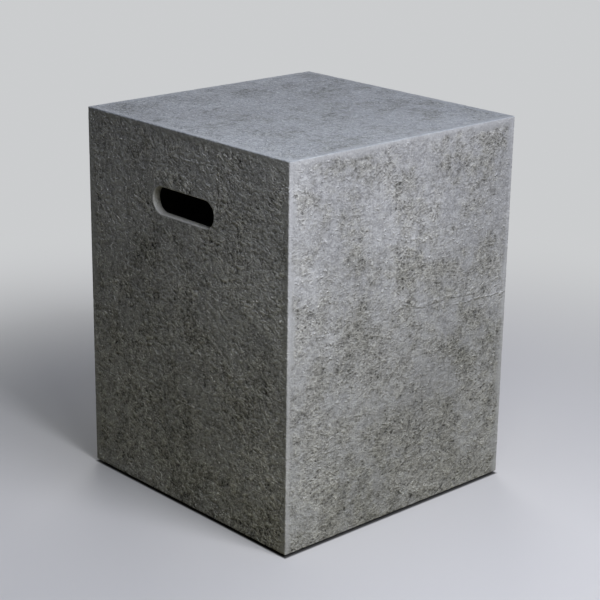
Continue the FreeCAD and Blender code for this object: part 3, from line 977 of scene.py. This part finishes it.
def brush_share(recipe):
    """Level lines that a brush left in the lower half of the slotted faces."""
    lines = recipe.noise(BRUSH_LINES, recipe.place.stretch(BRUSHED)).ramp(*BRUSH_STEP)
    patches = recipe.noise(BRUSH_PATCHES).ramp(*BRUSH_PATCH_STEP)
    return lines * recipe.height().ramp(*BRUSHED_LEVELS) * patches * side_share(recipe)


def cast_colour(recipe, bare, clouds):
    """The skim's colour or the body's, tinted with painted light: warmer low down, cooler high up,
    and darker and bluer on the table top.
    """
    body = clouds.blend(OLIVE_COLOUR, BODY_COLOUR)
    painted_light_tint = recipe.height().ramp(RIM_LEVEL, TABLE_TOP).blend(LOW_PAINTED_LIGHT_TINT, HIGH_PAINTED_LIGHT_TINT)
    return bare.blend(SKIM_COLOUR, body).stretch(top_share(recipe).blend(painted_light_tint, TOP_PAINTED_LIGHT_TINT))


def edge_tone(recipe, arris):
    """The pale strip along the edges of the plain faces, and a paler line on every arris, partly
    sanded wear and partly a painted highlight.
    """
    strip = arris.ramp(*PALE_STRIP) * side_share(recipe, 1.0, SIDE_STRIP)
    strip *= top_share(recipe, 1.0, TOP_STRIP)
    return strip * STRIP_TONE + arris.ramp(*SANDED_HIGHLIGHT_BAND, 0.0, SANDED_HIGHLIGHT_TONE)


def make_cast_concrete():
    """The faces that lay against the mould: pits, knobs and flecks under patches of pale skim."""
    recipe = Surface("concrete_cast", Specular_IOR_Level=0.2)
    drawn = recipe.place.stretch(TROWELLED)
    arris = arris_distance(recipe)
    edge = arris + recipe.noise(WANDER).ramp(*EDGE_WANDER)
    bare = bare_share(recipe) * edge.ramp(*SMOOTH_BAND) * top_share(recipe, 1.0, TOP_BARE)
    clouds = recipe.noise(CLOUDS).ramp(*MIDDLE)
    knobs, grain, mottle = (recipe.noise(kind, drawn) - 0.5 for kind in (KNOBS, GRAIN, MOTTLE))
    crowds = recipe.noise(FLECK_CROWDS).ramp(*FLECK_CROWD_STEP)
    flecks = recipe.noise(FLECKS, drawn).ramp(*FLECK_STEP) * crowds
    streaks = recipe.noise(STREAKS, recipe.place.stretch(STREAKED))
    pits, brushed = pit_share(recipe, bare), brush_share(recipe)
    strength = edge.ramp(*EDGE_STRENGTH) * bare.ramp(*BARE_STRENGTH)
    # On the slotted sides the stronger tone is painted light raking across them; the stronger bumps are
    # relief.
    strength *= side_share(recipe, 1.0, SIDE_COARSENESS_AND_PAINTED_LIGHT)

    # Apart from the mottle, the speckle's tone follows its bumps: knobs, grain and flecks paler where
    # they stand up, pits darker. This is partly wear and dirt, partly painted light on what stands up and
    # painted shade in the hollows.
    speckle = grain * GRAIN_TONE + knobs * KNOB_TONE + mottle * MOTTLE_TONE
    speckle += flecks * FLECK_TONE + pits * PIT_TONE
    tone = clouds * CLOUD_TONE + streaks * STREAK_TONE + brushed * BRUSH_TONE
    tone += speckle * strength + edge_tone(recipe, arris) + PLAIN_TONE
    bumps = knobs * KNOB_HEIGHT + grain * GRAIN_HEIGHT + flecks * FLECK_HEIGHT + pits * PIT_HEIGHT
    tone, height = add_marks(recipe, tone, bumps * strength + brushed * BRUSH_HEIGHT)
    return recipe.finish(
        height,
        Base_Color=cast_colour(recipe, bare, clouds).shade(add_broad_tone_patches(recipe, tone)),
        Roughness=bare.ramp(*CAST_ROUGHNESS),
    )


def make_cut_concrete():
    """The smoother, paler concrete of the slots' throats, the notch and the rim; the paleness is partly
    painted light.
    """
    recipe = Surface("concrete_cut", Specular_IOR_Level=0.25, Roughness=0.8)
    colour = recipe.noise(CUT_CLOUDS).blend(DARK_CUT_COLOUR, CUT_COLOUR)
    return recipe.finish(recipe.noise(CUT_GRAIN) * GRAIN_HEIGHT, Base_Color=colour)


def make_back_concrete():
    """The inside, laid by hand: rough, with short glass fibres showing."""
    recipe = Surface("concrete_back", Specular_IOR_Level=0.2, Roughness=0.92)
    fibres = recipe.noise(FIBRES, recipe.place.stretch(FIBRE_DRAWN)).ramp(*FIBRE_STEP)
    clouds = recipe.noise(BACK_CLOUDS).ramp(*MIDDLE)
    colour = clouds.blend(DARK_BACK_COLOUR, BACK_COLOUR)
    height = recipe.noise(CLOTS) * CLOT_HEIGHT + fibres * FIBRE_HEIGHT
    return recipe.finish(height, Base_Color=(fibres * FIBRE_SHARE).blend(colour, FIBRE_COLOUR))


# The feet and the fasteners: colours, noises and soft steps as above, heights in metres, roughness
RUBBER_COLOUR = (0.022, 0.022, 0.021, 1)
DUST_COLOUR = (0.150, 0.145, 0.132, 1)
ZINC_COLOUR = (0.600, 0.605, 0.615, 1)
DULL_ZINC_COLOUR = (0.420, 0.425, 0.430, 1)
BRASS_COLOUR = (0.720, 0.550, 0.280, 1)
TARNISH_COLOUR = (0.360, 0.235, 0.105, 1)
DUST = (0.004, 4.0, 0.65)
DUST_STEP = (0.38, 0.68)
DUST_LEVELS = (0.0015, 0.0, 0.12, 0.7)
RUBBER_GRAIN = (0.0006, 2.0, 0.6)
TURNING = (0.00045, 2.0, 0.5)
SPANGLES = (0.0030, 5.0, 0.7)
TARNISH = (0.0024, 5.0, 0.7)
DULL_STEP = (0.36, 0.66)
RUBBER_GRAIN_HEIGHT, TURNING_HEIGHT = 0.00012, 0.00003
RUBBER_ROUGHNESS = (0.0, 1.0, 0.62, 0.95)
ZINC_ROUGHNESS, BRASS_ROUGHNESS, TURNED_ROUGHNESS, BRIGHT_ROUGHNESS = 0.38, 0.40, 0.16, -0.14


def make_rubber():
    """Black moulded rubber with a fine grain, dusty where it meets the floor."""
    recipe = Surface("foot_rubber", Specular_IOR_Level=0.35)
    dust = recipe.noise(DUST).ramp(*DUST_STEP) * recipe.height().ramp(*DUST_LEVELS)
    return recipe.finish(
        recipe.noise(RUBBER_GRAIN) * RUBBER_GRAIN_HEIGHT,
        Base_Color=dust.blend(RUBBER_COLOUR, DUST_COLOUR),
        Roughness=dust.ramp(*RUBBER_ROUGHNESS),
    )


def distance_from_foot(recipe):
    """How far a point lies from the upright axis of the nearest foot."""
    reach = HALF_WIDTH - FOOT_INSET
    away = recipe.place.stretch((1, 1, 0)).vector("ABSOLUTE")
    return away.vector("DISTANCE", (reach, reach, 0), output="Value")


def make_metal(name, bright, dull, spots, roughness):
    """Turned metal: fine rings round the fastener's axis, and duller patches."""
    recipe = Surface(name, Metallic=1.0)
    rings = recipe.node("ShaderNodeCombineXYZ", (distance_from_foot(recipe),))
    turned = recipe.noise(TURNING, rings)
    patches = recipe.noise(spots).ramp(*DULL_STEP)
    return recipe.finish(
        turned * TURNING_HEIGHT,
        Base_Color=patches.blend(dull, bright),
        Roughness=turned * TURNED_ROUGHNESS + patches * BRIGHT_ROUGHNESS + roughness,
    )


def dress_fasteners():
    rubber = make_rubber()
    zinc = make_metal("zinc_plate", ZINC_COLOUR, DULL_ZINC_COLOUR, SPANGLES, ZINC_ROUGHNESS)
    brass = make_metal("anchor_brass", BRASS_COLOUR, TARNISH_COLOUR, TARNISH, BRASS_ROUGHNESS)
    surfaces = {"foot": rubber, "washer": zinc, "screw": zinc, "anchor": brass}
    for piece, surface in surfaces.items():
        for corner in CORNERS:
            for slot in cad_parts[f"{piece}_{corner}"].material_slots:
                slot.material = surface


casting = make_casting()
cast, cut, back = make_cast_concrete(), make_cut_concrete(), make_back_concrete()
# One for each zone: outer faces, openings' edges, inside, seats and rim
for material in (cast, cut, back, cut, cut):
    casting.data.materials.append(material)
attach(casting, "root")
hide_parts(SHELL)
dress_fasteners()


# The camera's place, from the casting's edges and corners in the picture
IMAGE_SIDE = 600
CAMERA_AZIMUTH = math.radians(-42.7214)
CAMERA_ELEVATION = math.radians(18.4159)
CAMERA_ROLL = math.radians(0.8242)
CAMERA_DISTANCE = 2.3688
TARGET_ASIDE = 0.0031
TARGET_HEIGHT = 0.2532
FOCAL_PIXELS = 1700.7
SENSOR_WIDTH = 36.0


def make_camera():
    sin_a, cos_a = math.sin(CAMERA_AZIMUTH), math.cos(CAMERA_AZIMUTH)
    sin_e, cos_e = math.sin(CAMERA_ELEVATION), math.cos(CAMERA_ELEVATION)
    back = Vector((sin_a * cos_e, -cos_a * cos_e, sin_e))
    level = Vector((cos_a, sin_a, 0))
    rise = back.cross(level)
    right = level * math.cos(CAMERA_ROLL) + rise * math.sin(CAMERA_ROLL)
    up = rise * math.cos(CAMERA_ROLL) - level * math.sin(CAMERA_ROLL)
    target = level * TARGET_ASIDE + Vector((0, 0, TARGET_HEIGHT))
    camera = add_object("camera", bpy.data.cameras.new("camera"))
    camera.data.sensor_width = SENSOR_WIDTH
    camera.data.lens = FOCAL_PIXELS * SENSOR_WIDTH / IMAGE_SIDE
    turned = Matrix((right, up, back)).transposed().to_4x4()
    camera.matrix_world = Matrix.Translation(target + back * CAMERA_DISTANCE) @ turned
    bpy.context.scene.camera = camera


# Soft lamps: place, what they point at, side, power in watts, colour
LAMPS = {
    "near": ((-0.30, -0.75, 1.10), (0, 0, 0.40), 0.6, 4.4, (0.98, 1.0, 0.93)),
    "key": ((-0.10, -1.50, 1.50), (0, 0, 0.40), 0.9, 28.2, (0.97, 0.97, 1.08)),
    "overhead": ((0.0, -0.2, 2.40), (0, 0, 0), 1.6, 2.0, (0.1, 0.40, 1.4)),
    "rear": ((1.30, 1.70, 0.80), (0, 0, 0.25), 1.2, 25.0, (1.0, 0.99, 0.98)),
}

# The sky and the shaded floor light the object. The camera sees the backdrop and the pale floor, and
# a painted shadow: dark floor under the object and just past its edge. The last three are distances in
# metres.
SKY_COLOUR = (0.036, 0.038, 0.040, 1)
BACKDROP_COLOUR = (0.60, 0.61, 0.62, 1)
PALE_FLOOR_COLOUR = (0.66, 0.66, 0.66, 1)
SHADED_FLOOR_COLOUR = (0.23, 0.205, 0.11, 1)
PAINTED_SHADOW_FLOOR_COLOUR = (0.08, 0.08, 0.08, 1)
PAINTED_SHADOW_EDGE = (-0.0010, 0.0030)
FLOOR_FADE = (0.45, 1.30)
FLOOR_REACH = 30.0


def make_lamps():
    for name, (spot, target, side, power, colour) in LAMPS.items():
        lamp = bpy.data.lights.new(name, "AREA")
        lamp.size = side
        lamp.energy = power
        lamp.color = colour
        holder = add_object(name, lamp)
        holder.location = spot
        aim = Vector(target) - Vector(spot)
        holder.rotation_euler = aim.to_track_quat("-Z", "Y").to_euler()


def seen_share(recipe):
    """One for what the camera sees, also mirrored or through glass, and else nothing."""
    rays = recipe.tree.nodes.new("ShaderNodeLightPath").outputs
    camera, glossy, clear = (
        Value(recipe, rays[f"Is {kind} Ray"]) for kind in ("Camera", "Glossy", "Transmission")
    )
    return camera.maths("MAXIMUM", glossy).maths("MAXIMUM", clear)


def make_world():
    """A dim sky that lights the object, which the eye sees as a pale backdrop."""
    world = bpy.data.worlds.new("world")
    world.use_nodes = True
    recipe = Recipe(world.node_tree)
    sky, backdrop = (
        recipe.node("ShaderNodeBackground", {"Color": colour}) for colour in (SKY_COLOUR, BACKDROP_COLOUR)
    )
    recipe.show(seen_share(recipe), sky, backdrop, "World Output")
    bpy.context.scene.world = world


def make_floor_surface():
    """Painted shadow under the object and just past its edge, pale round it, and further off the
    backdrop's even tone.
    """
    recipe = Surface("floor", Roughness=0.9, Specular_IOR_Level=0.0)
    x, y, _ = recipe.place.parts()
    beyond = abs(x).maths("MAXIMUM", abs(y)) - HALF_WIDTH
    seen = seen_share(recipe)
    tone = seen.blend(SHADED_FLOOR_COLOUR, PALE_FLOOR_COLOUR)
    # Painted shadow: the floor turns dark under the object and a little past its edge
    recipe.feed_shader(Base_Color=beyond.ramp(*PAINTED_SHADOW_EDGE).blend(PAINTED_SHADOW_FLOOR_COLOUR, tone))
    distance = recipe.place.vector("LENGTH", output="Value")
    near = Value(recipe, recipe.shader.outputs[0])
    even = recipe.node("ShaderNodeEmission", {"Color": BACKDROP_COLOUR})
    recipe.show(distance.ramp(*FLOOR_FADE) * seen, near, even, "Material Output")
    return recipe.material


def make_floor():
    """A level floor that goes on past all that the camera sees."""
    mesh = bpy.data.meshes.new("floor")
    corners = [(x * FLOOR_REACH, y * FLOOR_REACH, 0) for x, y in ((-1, -1), (1, -1), (1, 1), (-1, 1))]
    mesh.from_pydata(corners, [], [(0, 1, 2, 3)])
    mesh.materials.append(make_floor_surface())
    floor = add_object("floor", mesh)


make_camera()
make_lamps()
make_world()
make_floor()
bpy.context.scene.view_settings.view_transform = "Standard"
